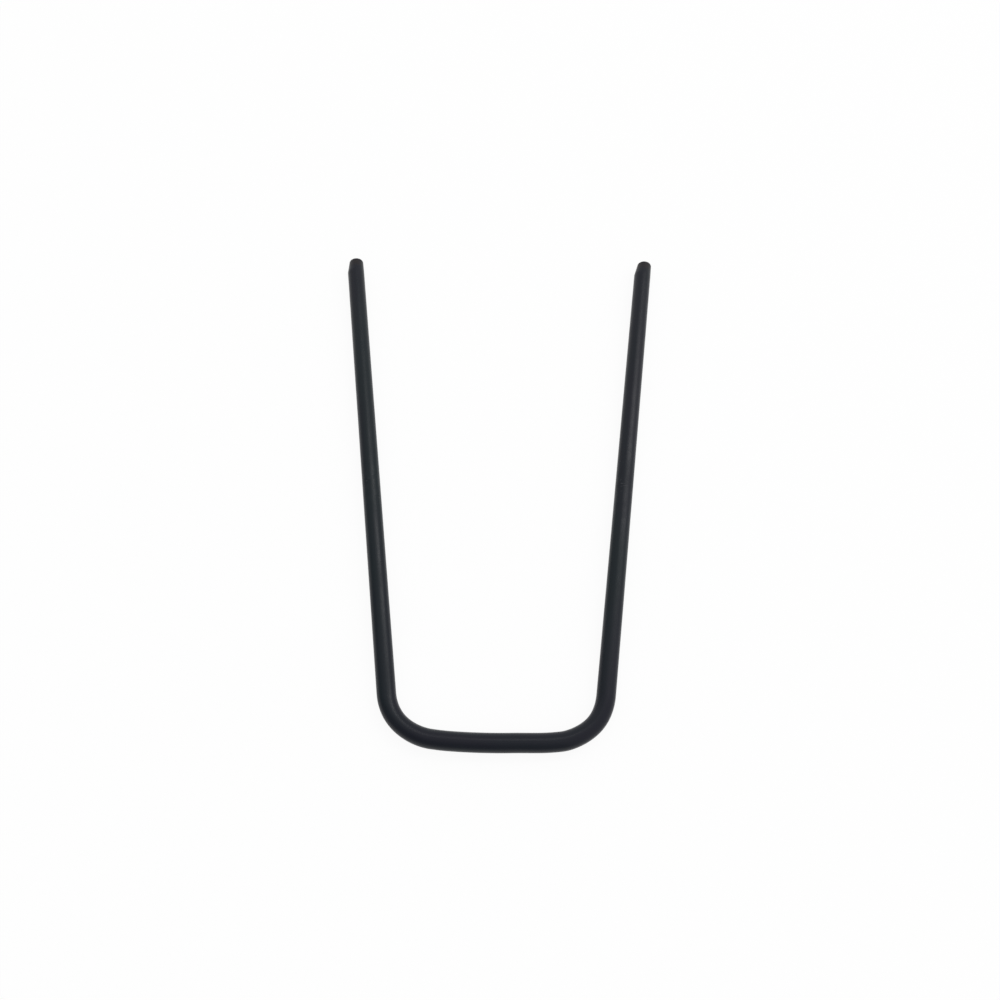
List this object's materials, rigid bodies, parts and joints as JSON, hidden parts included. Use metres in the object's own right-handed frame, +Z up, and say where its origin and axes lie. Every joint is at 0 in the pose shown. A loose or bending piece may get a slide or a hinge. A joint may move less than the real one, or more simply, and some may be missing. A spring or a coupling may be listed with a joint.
{
  "type": "cable needle",
  "caption": "U-shaped cable needle: a round rod bent into a wide U with blunt tips, for holding stitches while a cable is crossed.",
  "frame": {"origin": "on the surface that the needle lies on, under the middle of its box", "axes": "+Y from the base towards the two tips, +X across from the left leg to the right leg, +Z up from the surface that it lies on"},
  "size_m": [0.0756, 0.1204, 0.004],
  "materials": {
    "black_coat": "satin black anodised coat, slightly blue, on a drawn aluminium rod"
  },
  "bodies": {
    "root": {"needle_rod": "black_coat"}
  },
  "joints": []
}
